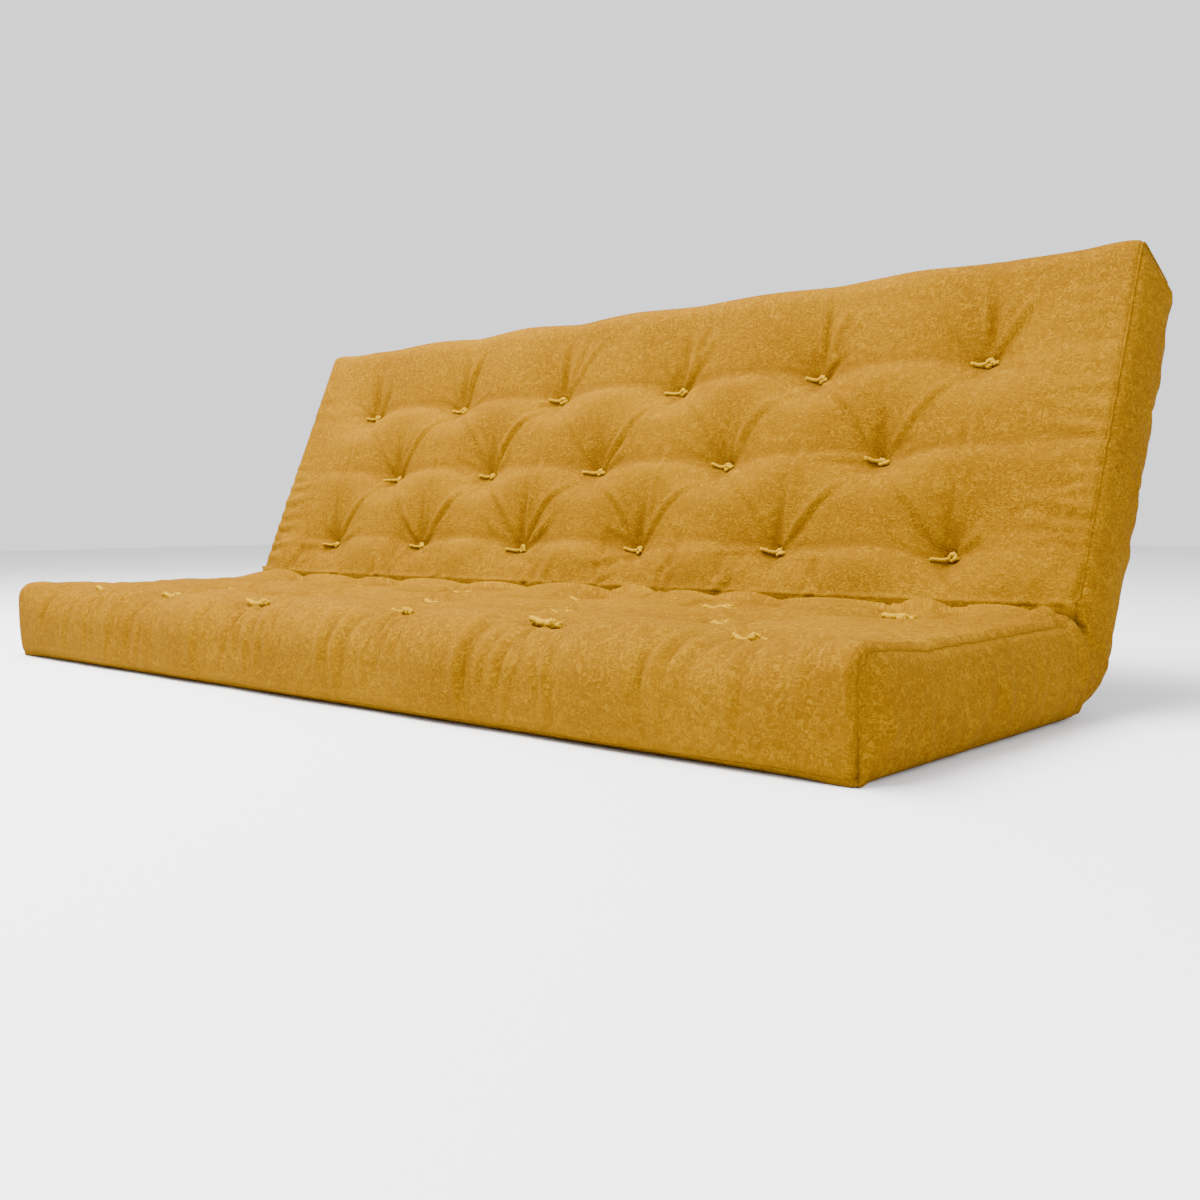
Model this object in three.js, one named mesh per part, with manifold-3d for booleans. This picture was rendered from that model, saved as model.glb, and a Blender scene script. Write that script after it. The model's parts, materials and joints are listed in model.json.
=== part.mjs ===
// Tufted futon mattress for a sofa bed, bent to a sofa's L at its middle fold.
// Millimetres, +Z up. The seat's front edge faces -Y and the length runs along X.
// Origin: bottom centre of the bounding box. Each piece is one closed solid.
import * as THREE from "three";
import { mergeVertices } from "three/addons/utils/BufferGeometryUtils.js";
import Module from "manifold-3d";

const wasm = await Module();
wasm.setup();

// Overall sizes
const LENGTH = 1900;
const SEAT_DEPTH = 550;
const BACK_HEIGHT = 575;
const THICKNESS = 140;
const RECLINE = 23;

// Layers, from the casing inwards
const PANEL = 3;
const FELT = 33;
const GAP = 0.3;

// Rounded long edges: the face edge and the underside edge of each section
const SEAT_FACE_RADIUS = 45;
const SEAT_UNDER_RADIUS = 30;
const BACK_FACE_RADIUS = 32;
const BACK_UNDER_RADIUS = 32;
const SEAM_ANGLE = -20;

// Tufting: rows of ties across each section, long rows and short rows by turns
const TIES_IN_LONG_ROW = 6;
const END_MARGIN = 207.5;
const SEAT_EDGE_ROW_INSET = 75;
const SEAT_FOLD_ROW_INSET = 75;
const BACK_EDGE_ROW_INSET = 171;
const BACK_FOLD_ROW_INSET = 91;
const PIT_RADIUS = 60;
const PIT_DEPTH = 22;
const TWINE_RADIUS = 1.6;
const KNOT_LENGTH = 26;
const KNOT_RADIUS = 3.2;

// The seat's front row is tied by hand and wanders: shifts along X and towards the fold
const FRONT_ROW_WANDER = [
  [0, 0],
  [-35, 0],
  [-40, -10],
  [15, 0],
  [10, 0],
  [20, 15],
];

// Facets
const PIT_SIDES = 6;
const EDGE_STEPS = 4;
const FOLD_STEPS = 6;

// Worked out from the sizes above
const TIE_SPACING = (LENGTH - 2 * END_MARGIN) / (TIES_IN_LONG_ROW - 1);
const FOLD_ANGLE = THREE.MathUtils.degToRad(90 - RECLINE);
const INNER_LENGTH = LENGTH - 2 * (PANEL + GAP);
const FELT_INSET = PANEL + GAP;
const CORE_INSET = FELT_INSET + FELT + GAP;
const FLAT_TO_CORNER = Math.cos(Math.PI / PIT_SIDES);
const HOLE_RADIUS = (TWINE_RADIUS + GAP) / FLAT_TO_CORNER;
const PIT_FLOOR_RADIUS = (Math.hypot(KNOT_LENGTH / 2, KNOT_RADIUS) + GAP) / FLAT_TO_CORNER;
const BEYOND = 60;

function material(color, roughness) {
  return new THREE.MeshStandardMaterial({ color, roughness, metalness: 0, flatShading: true });
}

const casingFabric = () => material(0xc8912d, 0.9);
const cottonFelt = () => material(0xe9dfc8, 0.95);
const latexFoam = () => material(0xefe6b8, 0.8);
const tieTwine = () => material(0xe1b43c, 0.75);

// A closed geometry as a solid that can be joined and cut.
function solid(geometry) {
  const bare = geometry.clone();
  bare.deleteAttribute("normal");
  bare.deleteAttribute("uv");
  const merged = mergeVertices(bare, 1e-4);
  return new wasm.Manifold(
    new wasm.Mesh({
      numProp: 3,
      vertProperties: merged.attributes.position.array,
      triVerts: new Uint32Array(merged.index.array),
    }),
  );
}

function meshOf(name, body, finish) {
  const { vertProperties, triVerts } = body.getMesh();
  const geometry = new THREE.BufferGeometry();
  geometry.setAttribute("position", new THREE.BufferAttribute(vertProperties, 3));
  geometry.setIndex(new THREE.BufferAttribute(triVerts, 1));
  geometry.computeVertexNormals();
  const mesh = new THREE.Mesh(geometry, finish());
  mesh.name = name;
  return mesh;
}

// A side outline, drawn in Y and Z, run along X from one place to another.
function runAlongX(shape, from, to) {
  const geometry = new THREE.ExtrudeGeometry(shape, {
    depth: to - from,
    bevelEnabled: false,
    curveSegments: EDGE_STEPS,
  });
  const lay = new THREE.Matrix4().makeBasis(
    new THREE.Vector3(0, 1, 0),
    new THREE.Vector3(0, 0, 1),
    new THREE.Vector3(1, 0, 0),
  );
  return solid(geometry.applyMatrix4(lay).translate(from, 0, 0));
}

function polygon(points) {
  return new THREE.Shape(points.map(([y, z]) => new THREE.Vector2(y, z)));
}

// A section lies flat here: Y runs from the fold to the long edge, Z from underside to face.
function sectionOutline(section, inset) {
  const edge = section.depth - inset;
  const face = THICKNESS - inset;
  const faceRadius = section.faceRadius - Math.min(inset, section.faceRadius / 2);
  const underRadius = section.underRadius - Math.min(inset, section.underRadius / 2);
  const shape = new THREE.Shape();
  shape.moveTo(GAP / 2, inset);
  shape.lineTo(edge - underRadius, inset);
  shape.absarc(edge - underRadius, inset + underRadius, underRadius, -Math.PI / 2, 0, false);
  shape.lineTo(edge, face - faceRadius);
  shape.absarc(edge - faceRadius, face - faceRadius, faceRadius, 0, Math.PI / 2, false);
  shape.lineTo(GAP / 2, face);
  return shape;
}

// Tie places of a section: rows near the edge, in the middle and near the fold.
function tiePlaces(section) {
  const edgeRow = section.depth - section.edgeRowInset;
  const foldRow = section.foldRowInset;
  const rows = [
    { name: "edge", y: edgeRow, count: TIES_IN_LONG_ROW, wander: section.wander },
    { name: "middle", y: (edgeRow + foldRow) / 2, count: TIES_IN_LONG_ROW - 1 },
    { name: "fold", y: foldRow, count: TIES_IN_LONG_ROW },
  ];
  return rows.flatMap((row) =>
    Array.from({ length: row.count }, (_, i) => {
      const [alongX, inwards] = row.wander ? row.wander[i] : [0, 0];
      const x = (i - (row.count - 1) / 2) * TIE_SPACING + alongX;
      return {
        name: `${section.name}_tie_${row.name}_${i + 1}`,
        x: x * section.xSign,
        y: row.y - inwards,
      };
    }),
  );
}

function upright(topRadius, bottomRadius, low, high, x, y) {
  const geometry = new THREE.CylinderGeometry(topRadius, bottomRadius, high - low, PIT_SIDES);
  geometry.rotateX(Math.PI / 2);
  geometry.translate(x, y, (low + high) / 2);
  return solid(geometry);
}

// The hollows that the ties pull into the face and the underside, below a layer's own surface.
function pits(places, inset) {
  const slope = (PIT_RADIUS - PIT_FLOOR_RADIUS) / PIT_DEPTH;
  const mouth = PIT_RADIUS + slope * PANEL;
  const faceFloor = THICKNESS - inset - PIT_DEPTH;
  const faceMouth = THICKNESS - inset + PANEL;
  const underFloor = inset + PIT_DEPTH;
  const underMouth = inset - PANEL;
  return places.flatMap(({ x, y }) => [
    upright(mouth, PIT_FLOOR_RADIUS, faceFloor, faceMouth, x, y),
    upright(PIT_FLOOR_RADIUS, mouth, underMouth, underFloor, x, y),
  ]);
}

function holes(places) {
  return places.map(({ x, y }) =>
    upright(HOLE_RADIUS, HOLE_RADIUS, -BEYOND, THICKNESS + BEYOND, x, y),
  );
}

function cut(body, tools) {
  return tools.reduce((left, tool) => left.subtract(tool), body);
}

// A section's whole block inside a layer's surface, pulled in at the ties where it is soft.
function block(section, inset, places, pulledIn, length) {
  const full = runAlongX(sectionOutline(section, inset), -length / 2, length / 2);
  return pulledIn ? cut(full, pits(places, inset)) : full;
}

// The seam round the long edge lies low on the edge, so the face cloth wraps over it.
function faceHalf(section) {
  const middle = THICKNESS / 2;
  const turn = section.depth - section.underRadius;
  const seam = THREE.MathUtils.degToRad(SEAM_ANGLE);
  const reach = BEYOND * 2;
  return polygon([
    [-BEYOND, middle],
    [turn, middle],
    [turn, section.underRadius],
    [turn + reach * Math.cos(seam), section.underRadius + reach * Math.sin(seam)],
    [section.depth + reach, THICKNESS + BEYOND],
    [-BEYOND, THICKNESS + BEYOND],
  ]);
}

function levelHalf(section) {
  return polygon([
    [-BEYOND, THICKNESS / 2],
    [section.depth + BEYOND, THICKNESS / 2],
    [section.depth + BEYOND, THICKNESS + BEYOND],
    [-BEYOND, THICKNESS + BEYOND],
  ]);
}

// Splits a layer that goes all round into its face piece and its underside piece.
function split(layer, half) {
  const above = runAlongX(half, -LENGTH, LENGTH);
  return [layer.intersect(above), layer.subtract(above.translate([0, 0, -GAP]))];
}

function casingPanels(section, places) {
  const outside = block(section, 0, places, true, INNER_LENGTH);
  const inside = block(section, PANEL, places, true, INNER_LENGTH + BEYOND);
  const layer = cut(outside.subtract(openAtFold(inside, section, PANEL)), holes(places));
  return split(layer, faceHalf(section));
}

function feltLayers(section, places) {
  const outside = block(section, FELT_INSET, places, true, INNER_LENGTH);
  const inside = block(section, FELT_INSET + FELT, places, false, INNER_LENGTH + BEYOND);
  const opened = openAtFold(inside, section, FELT_INSET + FELT);
  const layer = cut(outside.subtract(opened), holes(places));
  return split(layer, levelHalf(section));
}

// Carries a hollow on through the end that meets the fold, so that no wall closes it there.
function openAtFold(inside, section, inset) {
  const doorway = polygon([
    [-BEYOND, inset],
    [GAP, inset],
    [GAP, THICKNESS - inset],
    [-BEYOND, THICKNESS - inset],
  ]);
  return inside.add(runAlongX(doorway, -LENGTH / 2, LENGTH / 2));
}

function foamCore(section, places) {
  return cut(block(section, CORE_INSET, places, false, INNER_LENGTH), holes(places));
}

// An end panel of the casing, cut to the section's side outline.
function endPanel(section, side) {
  const inner = side * (LENGTH / 2 - PANEL);
  const outer = side * (LENGTH / 2);
  const shape = sectionOutline(section, 0);
  return runAlongX(shape, Math.min(inner, outer), Math.max(inner, outer));
}

// A doubled twine through the whole thickness, with a knot lying in each pit.
function tie({ x, y }) {
  const low = PIT_DEPTH - GAP - KNOT_RADIUS;
  const high = THICKNESS - low;
  const half = KNOT_LENGTH / 2;
  const knotProfile = [
    [0, -half],
    [KNOT_RADIUS, -half + KNOT_RADIUS / 2],
    [KNOT_RADIUS, half - KNOT_RADIUS / 2],
    [0, half],
  ].map(([r, along]) => new THREE.Vector2(r, along));
  const knot = new THREE.LatheGeometry(knotProfile, PIT_SIDES).rotateZ(-Math.PI / 2);
  const underKnot = solid(knot.clone().translate(x, y, low));
  const faceKnot = solid(knot.translate(x, y, high));
  const twine = upright(TWINE_RADIUS, TWINE_RADIUS, low, high, x, y);
  return twine.add(underKnot).add(faceKnot);
}

function sectionGroup(section) {
  const places = tiePlaces(section);
  const [facePanel, underPanel] = casingPanels(section, places);
  const [faceFelt, underFelt] = feltLayers(section, places);
  const group = new THREE.Group();
  group.add(
    meshOf(`${section.name}_face_panel`, facePanel, casingFabric),
    meshOf(`${section.name}_under_panel`, underPanel, casingFabric),
    meshOf(`${section.name}_left_panel`, endPanel(section, -section.xSign), casingFabric),
    meshOf(`${section.name}_right_panel`, endPanel(section, section.xSign), casingFabric),
    meshOf(`${section.name}_face_felt`, faceFelt, cottonFelt),
    meshOf(`${section.name}_under_felt`, underFelt, cottonFelt),
    meshOf(`${section.name}_foam_core`, foamCore(section, places), latexFoam),
    ...places.map((place) => meshOf(place.name, tie(place), tieTwine)),
  );
  return group;
}

// A ring sector about the crease, from straight down round to the back section's end.
function foldSector(inner, outer, from, to) {
  const ring = (radius) =>
    Array.from({ length: FOLD_STEPS + 1 }, (_, i) => {
      const start = GAP / 2 / radius;
      const angle = start + ((FOLD_ANGLE - 2 * start) * i) / FOLD_STEPS;
      return [radius * Math.sin(angle), -radius * Math.cos(angle)];
    });
  return runAlongX(polygon([...ring(outer), ...ring(inner).reverse()]), from, to);
}

// The filling and casing that bend round the crease between the two sections.
function foldGroup() {
  const half = INNER_LENGTH / 2;
  const end = LENGTH / 2;
  const layers = [
    ["fold_crease_panel", PANEL / 4, PANEL, casingFabric],
    ["fold_face_felt", FELT_INSET, FELT_INSET + FELT, cottonFelt],
    ["fold_foam_core", CORE_INSET, THICKNESS - CORE_INSET, latexFoam],
    ["fold_under_felt", THICKNESS - FELT_INSET - FELT, THICKNESS - FELT_INSET, cottonFelt],
    ["fold_under_panel", THICKNESS - PANEL, THICKNESS, casingFabric],
  ];
  const group = new THREE.Group();
  for (const [name, inner, outer, finish] of layers) {
    group.add(meshOf(name, foldSector(inner, outer, -half, half), finish));
  }
  const leftPanel = foldSector(PANEL / 4, THICKNESS, -end, -end + PANEL);
  const rightPanel = foldSector(PANEL / 4, THICKNESS, end - PANEL, end);
  group.add(meshOf("fold_left_panel", leftPanel, casingFabric));
  group.add(meshOf("fold_right_panel", rightPanel, casingFabric));
  group.position.z = THICKNESS;
  return group;
}

const seat = sectionGroup({
  name: "seat",
  depth: SEAT_DEPTH,
  faceRadius: SEAT_FACE_RADIUS,
  underRadius: SEAT_UNDER_RADIUS,
  edgeRowInset: SEAT_EDGE_ROW_INSET,
  foldRowInset: SEAT_FOLD_ROW_INSET,
  wander: FRONT_ROW_WANDER,
  xSign: -1,
});
seat.rotation.z = Math.PI;

const back = sectionGroup({
  name: "back",
  depth: BACK_HEIGHT,
  faceRadius: BACK_FACE_RADIUS,
  underRadius: BACK_UNDER_RADIUS,
  edgeRowInset: BACK_EDGE_ROW_INSET,
  foldRowInset: BACK_FOLD_ROW_INSET,
  xSign: 1,
});
back.rotation.x = FOLD_ANGLE;
back.position.y = THICKNESS * Math.sin(FOLD_ANGLE);
back.position.z = THICKNESS * (1 - Math.cos(FOLD_ANGLE));

const mattress = new THREE.Group();
mattress.add(seat, back, foldGroup());
const extent = new THREE.Box3().setFromObject(mattress, true);
mattress.position.y = -(extent.min.y + extent.max.y) / 2;

export default mattress;
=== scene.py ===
import json
import math
import random

import bpy
import numpy as np
from mathutils import Matrix, Vector


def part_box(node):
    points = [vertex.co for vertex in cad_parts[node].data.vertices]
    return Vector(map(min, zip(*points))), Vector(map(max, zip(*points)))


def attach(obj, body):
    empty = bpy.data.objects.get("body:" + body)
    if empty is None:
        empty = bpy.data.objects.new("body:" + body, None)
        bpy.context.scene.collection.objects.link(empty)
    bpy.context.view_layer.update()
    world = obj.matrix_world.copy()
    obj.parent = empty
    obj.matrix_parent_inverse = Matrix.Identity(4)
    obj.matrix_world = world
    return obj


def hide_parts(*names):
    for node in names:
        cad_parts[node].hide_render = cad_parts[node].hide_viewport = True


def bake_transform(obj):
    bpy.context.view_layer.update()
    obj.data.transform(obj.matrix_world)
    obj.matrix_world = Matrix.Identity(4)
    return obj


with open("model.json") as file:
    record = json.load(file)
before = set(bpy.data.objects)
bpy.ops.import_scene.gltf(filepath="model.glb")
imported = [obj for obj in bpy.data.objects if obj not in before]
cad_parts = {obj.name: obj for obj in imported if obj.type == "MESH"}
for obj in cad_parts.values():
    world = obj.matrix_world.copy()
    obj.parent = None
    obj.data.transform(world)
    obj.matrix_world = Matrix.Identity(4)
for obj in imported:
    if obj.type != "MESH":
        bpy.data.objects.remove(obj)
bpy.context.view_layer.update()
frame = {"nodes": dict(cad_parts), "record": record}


# --- Standpoint and studio -------------------------------------------------------------------
# A low three-quarter standpoint in front of the mattress, a little above the seat.
# A plain pale floor, soft panels above, in front and on the right, and a pale even surround.
eye = Vector((1.5791, -1.5286, 0.2734))
eye_turn = 0.7317
eye_dip = 0.0681
eye_roll = -0.0056
lens_length = 37.48

camera_data = bpy.data.cameras.new("eye")
camera_data.lens = lens_length
camera_data.sensor_width = 36
camera_data.clip_end = 60
camera = bpy.data.objects.new("eye", camera_data)
bpy.context.scene.collection.objects.link(camera)
camera.matrix_world = (
    Matrix.Translation(eye)
    @ Matrix.Rotation(eye_turn, 4, "Z")
    @ Matrix.Rotation(math.pi / 2 - eye_dip, 4, "X")
    @ Matrix.Rotation(eye_roll, 4, "Z")
)
bpy.context.scene.camera = camera


def soft_panel(name, place, aim, size, watts, tint):
    """A soft rectangular light at a place, turned towards its aim."""
    light = bpy.data.lights.new(name, "AREA")
    light.shape = "RECTANGLE"
    light.size, light.size_y = size
    light.energy = watts
    light.color = tint
    holder = bpy.data.objects.new(name, light)
    holder.location = place
    holder.rotation_euler = (Vector(aim) - Vector(place)).to_track_quat("-Z", "Y").to_euler()
    bpy.context.scene.collection.objects.link(holder)


soft_panel("overhead_panel", place=(-0.8, -0.9, 3.2), aim=(0, 0.1, 0.2),
           size=(3.4, 2.0), watts=790, tint=(1, 0.98, 0.95))
soft_panel("front_panel", place=(-2.6, -3.6, 1.7), aim=(0, 0, 0.3),
           size=(2.4, 2.0), watts=14, tint=(1, 0.98, 0.96))
soft_panel("right_panel", place=(3.6, -1.2, 1.6), aim=(0.6, 0, 0.3),
           size=(1.6, 1.6), watts=112, tint=(0.98, 0.98, 1))

surround_tint = (0.95, 0.96, 1, 1)
surround_strength = 1.45
surround = bpy.data.worlds.new("surround")
surround.use_nodes = True
surround_light = surround.node_tree.nodes["Background"]
surround_light.inputs["Color"].default_value = surround_tint
surround_light.inputs["Strength"].default_value = surround_strength
bpy.context.scene.world = surround

floor_reach = 9
floor_drop = 0.0005
floor_grey = (0.75, 0.75, 0.75, 1)
floor_corners = [(-floor_reach, -floor_reach, 0), (floor_reach, -floor_reach, 0),
                 (floor_reach, floor_reach, 0), (-floor_reach, floor_reach, 0)]
floor_data = bpy.data.meshes.new("floor")
floor_data.from_pydata(floor_corners, [], [(0, 1, 2, 3)])
floor = bpy.data.objects.new("floor", floor_data)
floor.location.z = -floor_drop
bpy.context.scene.collection.objects.link(floor)
floor_finish = bpy.data.materials.new("pale_floor")
floor_finish.use_nodes = True
floor_shader = floor_finish.node_tree.nodes["Principled BSDF"]
floor_shader.inputs["Base Color"].default_value = floor_grey
floor_shader.inputs["Roughness"].default_value = 0.6
floor_data.materials.append(floor_finish)


# --- Filling and its outline -------------------------------------------------------------------
# A foam core between layers of cotton felt fills the seat and the back and bends round the fold.
# It isn't seen, but it gives the casing its outline: plump along the middle, squarer at the ends,
# with rounded lips where the two faces turn into the crease.
seat_low, seat_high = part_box("seat_left_panel")
half_length = -seat_low.x
thickness = seat_high.z
seat_depth = seat_high.y - seat_low.y
crease = np.array([seat_high.y, thickness])
rear_mount = [m for m in frame["record"]["mounts"] if m["name"] == "back_rear_face"][0]
rearward = np.array(rear_mount["axis"][1:])
upward = np.array([-rearward[1], rearward[0]])
back_corners = np.array([v.co[1:] for v in frame["nodes"]["back_left_panel"].data.vertices])
back_height = float(((back_corners - crease) @ upward).max())
fold_angle = math.atan2(upward[1], upward[0])
lip_turn = (math.pi - fold_angle) / 2

# The casing's mesh runs round the outline in a loop, and along the length in even steps.
seat_columns, back_columns = 88, 90
lip_columns, wall_columns = 9, 3
fold_columns = 2 * (lip_columns + wall_columns)
edge_rows = 20
length_steps = 300
path_columns = seat_columns + fold_columns + back_columns
loop_count = 2 * (path_columns + edge_rows)

# Radii of the long edges, as face side and underside, in the middle of the length and at the ends.
seat_middle_radii, back_middle_radii = (0.062, 0.020), (0.044, 0.038)
seat_end_radii, back_end_radii = (0.026, 0.012), (0.020, 0.018)


def on_seat(flat):
    """Side points of the seat: flat holds the distance from the crease and the height."""
    return np.stack([crease[0] - flat[:, 0], flat[:, 1]], -1)


def on_back(flat):
    """Side points of the back: flat holds the distance from the crease and the height."""
    return crease + flat[:, :1] * upward + (thickness - flat[:, 1:]) * rearward


def arc(centre, radius, start, end, steps=24):
    """Points on a round corner between two angles in degrees."""
    angles = np.radians(np.linspace(start, end, steps))
    return np.stack([centre[0] + radius * np.cos(angles), centre[1] + radius * np.sin(angles)], -1)


def distance_along(points):
    """How far each point of a line lies from its first one."""
    return np.concatenate([[0], np.cumsum(np.linalg.norm(np.diff(points, axis=0), axis=1))])


def spread(points, count):
    """The same line as count even steps."""
    points = np.asarray(points, float)
    run = distance_along(points)
    places = np.linspace(0, run[-1], count + 1)
    return np.stack([np.interp(places, run, points[:, i]) for i in (0, 1)], -1)


def section_outline(depth, face_radius, under_radius, columns):
    """The edge, face and underside lines of one section, flat, each from its long edge or seam."""
    seam_dip, lip_radius, crease_gap, wall_depth = -20, 0.03, 0.003, 0.02
    face_centre = (depth - face_radius, thickness - face_radius)
    under_centre = (depth - under_radius, under_radius)
    lean = math.degrees(lip_turn)
    lip_reach = (math.cos(lip_turn) * (math.sin(lip_turn + math.pi / 2) - 1)
                 - math.sin(lip_turn) * math.cos(lip_turn + math.pi / 2))
    lip_start = (crease_gap / 2 + lip_radius * lip_reach) / math.sin(lip_turn)
    lip = arc((lip_start, thickness - lip_radius), lip_radius, 90, 90 + lean)
    wall_foot = lip[-1] - wall_depth * np.array([math.cos(lip_turn), math.sin(lip_turn)])
    edge = np.concatenate([
        arc(under_centre, under_radius, seam_dip, 0),
        arc(face_centre, face_radius, 0, 45),
    ])
    face = np.concatenate([arc(face_centre, face_radius, 45, 90), lip[:1]])
    under = np.concatenate([arc(under_centre, under_radius, seam_dip, -90), [(0, 0)]])
    face_line = np.concatenate([
        spread(face, columns),
        spread(lip, lip_columns)[1:],
        spread([lip[-1], wall_foot], wall_columns)[1:],
    ])
    return spread(edge, edge_rows), face_line, spread(under, columns)


def side_loop(seat_radii, back_radii):
    """The whole side outline from the seat's seam over the face to the back's seam and round below."""
    seat_edge, seat_face, seat_under = map(
        on_seat, section_outline(seat_depth, *seat_radii, seat_columns))
    back_edge, back_face, back_under = map(
        on_back, section_outline(back_height, *back_radii, back_columns))
    turn = np.linspace(fold_angle, 0, fold_columns + 1)[:, None]
    bend = crease + thickness * np.concatenate([np.sin(turn), -np.cos(turn)], -1)
    return np.concatenate([
        seat_edge[:-1], seat_face, back_face[::-1][1:-1], back_edge[::-1],
        back_under[1:-1], bend, seat_under[::-1][1:-1],
    ])


middle_loop = side_loop(seat_middle_radii, back_middle_radii)
end_loop = side_loop(seat_end_radii, back_end_radii)

# Where each loop point lies: its distance along the face or the underside from the crease.
face_start, face_end = edge_rows, edge_rows + path_columns
under_start = face_end + edge_rows
valley = edge_rows + seat_columns + lip_columns + wall_columns
run = distance_along(middle_loop)
seat_lip = edge_rows + seat_columns
back_lip = valley + lip_columns + wall_columns
flat_lip = crease[0] - middle_loop[seat_lip, 0]
along_face = np.where(np.arange(loop_count) <= valley, run[seat_lip] - run + flat_lip,
                      run - run[back_lip] + flat_lip)
under_seat = loop_count - seat_columns
under_back = under_start + back_columns
along_under = np.where(np.arange(loop_count) >= under_seat, run - run[under_seat], run[under_back] - run)


def smooth_step(value, low, high):
    """0 below low, 1 above high, and a soft step between them."""
    t = np.clip((value - low) / (high - low), 0, 1)
    return t * t * (3 - 2 * t)


# The outline eases from its middle shape to its end shape over the last of the length.
end_inset = 0.001
corner_reach = 0.11
x_line = np.linspace(-half_length + end_inset, half_length - end_inset, length_steps + 1)
loop_index = np.arange(loop_count)
to_end = (half_length - end_inset - np.abs(x_line))[None, :]
corner_share = (1 - smooth_step(to_end, 0, corner_reach)) ** 1.5
outline = middle_loop[:, None] * (1 - corner_share[..., None]) + end_loop[:, None] * corner_share[..., None]
tangent = np.roll(outline, -1, 0) - np.roll(outline, 1, 0)
tangent /= np.linalg.norm(tangent, axis=-1, keepdims=True)
outward = np.stack([-tangent[..., 1], tangent[..., 0]], -1)

x_grid = np.broadcast_to(x_line, (loop_count, length_steps + 1))
on_seat_face = loop_index <= seat_lip
on_seat_under = loop_index >= under_seat
on_back_face = (loop_index >= back_lip) & (loop_index <= under_start)
on_back_rear = (loop_index > under_start) & (loop_index <= under_back)
on_seat_side = loop_index <= valley
on_back_side = (loop_index >= valley) & (loop_index <= under_start)


# --- Tufting -----------------------------------------------------------------------------------
# Twine ties hold the filling in place, in three staggered rows on each section. Each pulls the casing
# in on both faces. A pinched row runs from tie to tie, and creases run to the ties above.
def tie_places(section):
    """(x, distance from the crease) of each tie of a section, read from its twine solids."""
    places = []
    for name in sorted(frame["nodes"]):
        if name.startswith(section + "_tie_"):
            low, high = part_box(name)
            middle = np.array([(low.y + high.y) / 2, (low.z + high.z) / 2])
            toward = np.array([-1, 0]) if section == "seat" else upward
            places.append((name, (low.x + high.x) / 2, float((middle - crease) @ toward)))
    return places


ties = {section: tie_places(section) for section in ("seat", "back")}
chance = random.Random(7)


def one_sided(offset, above, below, power=2.0):
    """A dip that falls away over `above` on one side and over `below` on the other."""
    return np.exp(-(np.abs(offset) / np.where(offset > 0, above, below)) ** power)


def deeper_of(first, second):
    """Two dents joined softly, so that the deeper one wins."""
    power = 2.6
    return (first ** power + second ** power) ** (1 / power)


def pulled_in(section, x, along, pull, point, spread_up, spread_down, groove, arch):
    """How deep the ties and the pinched rows between them draw the cloth in, in metres."""
    tight_reach, side_reach, row_overlap = 0.022, 0.095, 0.03
    depth = np.zeros_like(x)
    rows = {}
    for name, px, pa in ties[section]:
        rows.setdefault(name.split("_")[2], []).append((px, pa))
        dx, up = x - px, along - pa
        own = pull * chance.uniform(0.88, 1.12)
        tight = np.exp(-np.hypot(dx, up) / tight_reach)
        wide = np.exp(-(dx / side_reach) ** 2) * one_sided(up, spread_up, spread_down)
        depth = deeper_of(depth, own * (point * tight + (1 - point) * wide))
    if not groove:
        return depth
    for row in rows.values():
        row.sort()
        ends = [(-half_length, row[0][1])] + row + [(half_length, row[-1][1])]
        for (ax, aa), (bx, ba) in zip(ends, ends[1:]):
            t = np.clip((x - ax) / (bx - ax), 0, 1)
            bow = arch * chance.uniform(0.6, 1.4)
            line = aa + (ba - aa) * t + bow * 4 * t * (1 - t)
            reach = groove * chance.uniform(0.8, 1.2) * (1 - 0.5 * np.sin(math.pi * t))
            if ax <= -half_length:
                reach = reach * t ** 0.8
            if bx >= half_length:
                reach = reach * (1 - t) ** 0.8
            inside = smooth_step(x, ax - row_overlap, ax) * (1 - smooth_step(x, bx, bx + row_overlap))
            pinch = reach * inside * one_sided(along - line, spread_up * 0.7, spread_down * 0.42, 1.5)
            depth = deeper_of(depth, pinch)
    return depth


def fold_line(x, along, start, end, bow, width, height, full_to=0.45, trough_side=1):
    """The rise of one crease between two places on the cloth: a ridge with a trough beside it."""
    run = np.subtract(end, start)
    span = math.hypot(*run)
    t = ((x - start[0]) * run[0] + (along - start[1]) * run[1]) / span ** 2
    off = ((x - start[0]) * run[1] - (along - start[1]) * run[0]) / span
    inside = np.clip(t, 0, 1)
    u = off - bow * 4 * inside * (1 - inside)
    fade = smooth_step(t, -0.02, 0.12) * (1 - smooth_step(t, full_to, 1.05))
    trough = np.exp(-((u * trough_side - 1.6 * width) / (1.3 * width)) ** 2)
    ridge = np.exp(-(u / width) ** 2) - 0.5 * trough
    return height * fade * ridge


def fan(x, along, place, count, turns, reaches, bend, heights, full_to=0.45):
    """Short creases that fan out of a tie between two angles in degrees."""
    rise = np.zeros_like(x)
    for _ in range(count):
        turn = chance.uniform(*map(math.radians, turns))
        reach = chance.uniform(*reaches)
        end = (place[0] + reach * math.cos(turn), place[1] + reach * math.sin(turn))
        trough_side = -1 if turns[0] < 90 and end[0] <= place[0] else 1
        rise += fold_line(x, along, place, end, chance.uniform(-bend, bend), chance.uniform(0.005, 0.008),
                          chance.uniform(*heights), full_to, trough_side)
    return rise


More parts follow.
